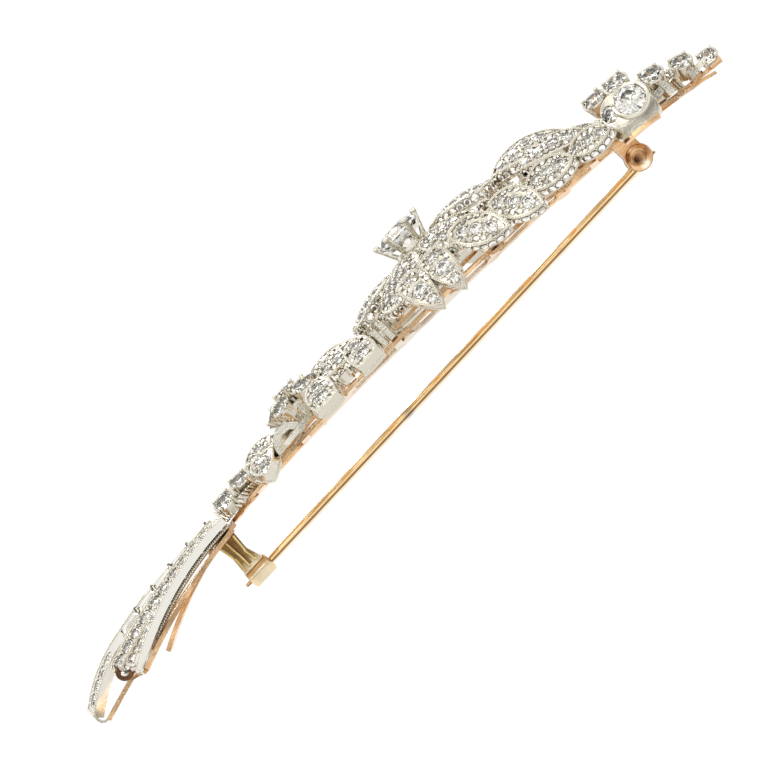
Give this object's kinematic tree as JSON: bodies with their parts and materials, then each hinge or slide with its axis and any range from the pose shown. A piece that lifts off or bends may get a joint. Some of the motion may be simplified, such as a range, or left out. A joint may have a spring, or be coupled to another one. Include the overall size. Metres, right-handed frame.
{
  "type": "diamond flower brooch",
  "caption": "Long spray brooch: a diamond flower with leaves, ribbon stems and a bud in white metal on an openwork rose gold back, with a hinged pin stem and an open catch.",
  "frame": {"origin": "middle of the brooch's box in X and Y, on the plane that its catch and hinge rest on", "axes": "+X from the stems towards the bud tip, +Z out of the front, -Y the side that the picture shows"},
  "size_m": [0.0762, 0.024, 0.0123],
  "materials": {
    "platinum": "polished, worn, with bright grain-set edges",
    "rose_gold": "soft polish with brown tarnish and pin scratches",
    "diamond": "cut and polished stone"
  },
  "bodies": {
    "brooch": {"gold_back": "rose_gold", "hinge_rivet": "rose_gold", "stem_front": "platinum", "stem_beaded": "platinum", "stem_near": "platinum", "stem_far": "platinum", "knot": "platinum", "small_flower": "platinum", "scroll_arch": "platinum", "collet_pair": "platinum", "near_cup": "platinum", "centre_flower": "platinum", "centre_setting": "platinum", "bud_plate": "platinum", "bud_cluster": "platinum", "bud_tip": "platinum", "leaf_spray_1": "platinum", "leaf_spray_2": "platinum", "leaf_spray_3": "platinum", "leaf_spray_4": "platinum", "leaf_spray_5": "platinum", "leaf_spray_6": "platinum", "leaf_spray_7": "platinum", "leaf_spray_8": "platinum", "leaf_spray_9": "platinum", "leaf_spray_10": "platinum", "leaf_spray_11": "platinum", "leaf_spray_12": "platinum", "leaf_spray_13": "platinum", "leaf_spray_14": "platinum", "leaf_spray_15": "platinum", "leaf_spray_16": "platinum", "leaf_spray_17": "platinum", "leaf_spray_18": "platinum", "leaf_spray_19": "platinum", "leaf_spray_20": "platinum", "centre_diamond": "diamond", "small_flower_diamond": "diamond", "near_cup_diamond": "diamond", "plate_diamond": "diamond", "plate_side_diamond": "diamond", "petal_stones": "diamond", "leaf_stones": "diamond", "stem_stones": "diamond", "small_flower_stones": "diamond", "knot_diamond_1": "diamond", "knot_diamond_2": "diamond", "knot_diamond_3": "diamond", "bud_diamond_1": "diamond", "bud_diamond_2": "diamond", "bud_diamond_3": "diamond", "bud_diamond_4": "diamond", "bud_diamond_5": "diamond", "baguette_1": "diamond", "baguette_2": "diamond", "baguette_3": "diamond", "baguette_4": "diamond", "baguette_5": "diamond"},
    "pin": {"pin_stem": "rose_gold"}
  },
  "joints": [
    {"name": "pin_hinge", "type": "hinge", "parent": "brooch", "child": "pin", "pos_m": [0.02708, -0.00091, 0.0012], "axis": [0, -1, 0], "range_deg": [0, 75]}
  ]
}
